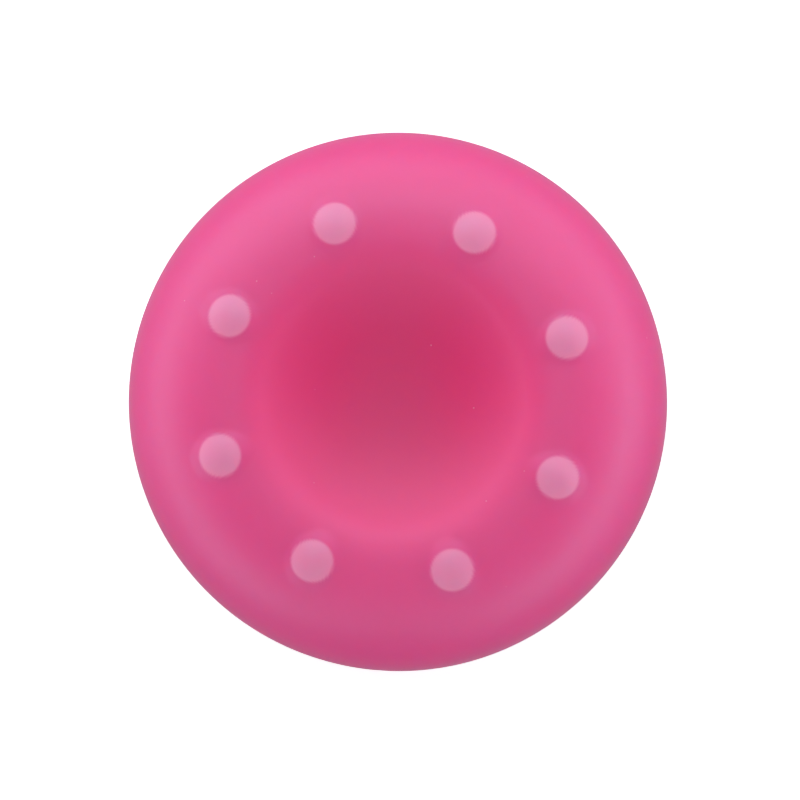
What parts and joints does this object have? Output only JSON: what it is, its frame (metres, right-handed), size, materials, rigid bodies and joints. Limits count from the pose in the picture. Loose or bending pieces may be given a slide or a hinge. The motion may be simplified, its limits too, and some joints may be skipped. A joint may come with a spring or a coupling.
{
  "type": "facial cleansing brush",
  "caption": "Round handheld facial cleansing brush: a soft silicone skin with a dished grip side ringed by nubs, a bristled face, and a vibrating motor inside.",
  "frame": {"origin": "under the centre of the round body, in the plane of the bristle tips that it rests on", "axes": "+Z out of the dished grip side, -Z out of the bristled face, -Y out of the charging socket"},
  "size_m": [0.075, 0.075, 0.0346],
  "materials": {
    "silicone_skin": "soft matte translucent silicone",
    "shell_plastic": "satin moulded plastic",
    "clear_plastic": "clear moulded plastic",
    "button_plastic": "satin moulded plastic",
    "seal_rubber": "soft black rubber",
    "screw_steel": "zinc-plated steel",
    "strap_steel": "spring steel strip",
    "board_laminate": "solder-resist laminate",
    "component_body": "moulded black component",
    "led_lens": "clear lamp lens",
    "stem_plastic": "moulded nylon",
    "cell_pouch": "laminated foil pouch",
    "foam_white": "foam tape",
    "foam_grey": "soft grey foam",
    "lead_red": "insulated wire",
    "lead_blue": "insulated wire",
    "lead_black": "insulated wire",
    "can_steel": "nickel-plated drawn steel",
    "magnet_ferrite": "sintered ferrite",
    "cap_plastic": "moulded nylon",
    "bush_bronze": "oiled sintered bronze",
    "shaft_steel": "ground steel",
    "core_iron": "laminated iron",
    "coil_copper": "enamelled copper",
    "weight_metal": "sintered heavy metal",
    "socket_brass": "plated brass"
  },
  "bodies": {
    "case": {"grip_cover": "silicone_skin", "grip_shell": "shell_plastic", "light_pipe": "clear_plastic", "case_seal": "seal_rubber", "brush_cover": "silicone_skin", "brush_shell": "shell_plastic", "case_screws": "screw_steel", "circuit_board": "board_laminate", "board_parts": "component_body", "status_led": "led_lens", "board_screws": "screw_steel", "switch_body": "component_body", "battery": "cell_pouch", "battery_tape": "foam_white", "battery_foam": "foam_grey", "battery_leads": "lead_red", "motor_can": "can_steel", "motor_magnets": "magnet_ferrite", "motor_end_cap": "cap_plastic", "motor_bushing": "bush_bronze", "motor_clamp": "strap_steel", "clamp_screws": "screw_steel", "motor_leads": "lead_blue", "charge_socket": "socket_brass", "socket_insulator": "component_body", "tip_contact": "socket_brass", "socket_seal": "seal_rubber", "socket_leads": "lead_black"},
    "button": {"button_plunger": "button_plastic", "switch_stem": "stem_plastic"},
    "rotor": {"motor_shaft": "shaft_steel", "motor_armature": "core_iron", "motor_windings": "coil_copper", "motor_commutator": "coil_copper", "eccentric_weight": "weight_metal"}
  },
  "joints": [
    {"name": "button_press", "type": "slide", "parent": "case", "child": "button", "axis": [0, 0, -1], "range_m": [0, 0.0005], "stiffness_N_per_m": 3000},
    {"name": "motor_spin", "type": "hinge", "parent": "case", "child": "rotor", "pos_m": [0, -0.012, 0.01445], "axis": [1, 0, 0], "continuous": true}
  ]
}
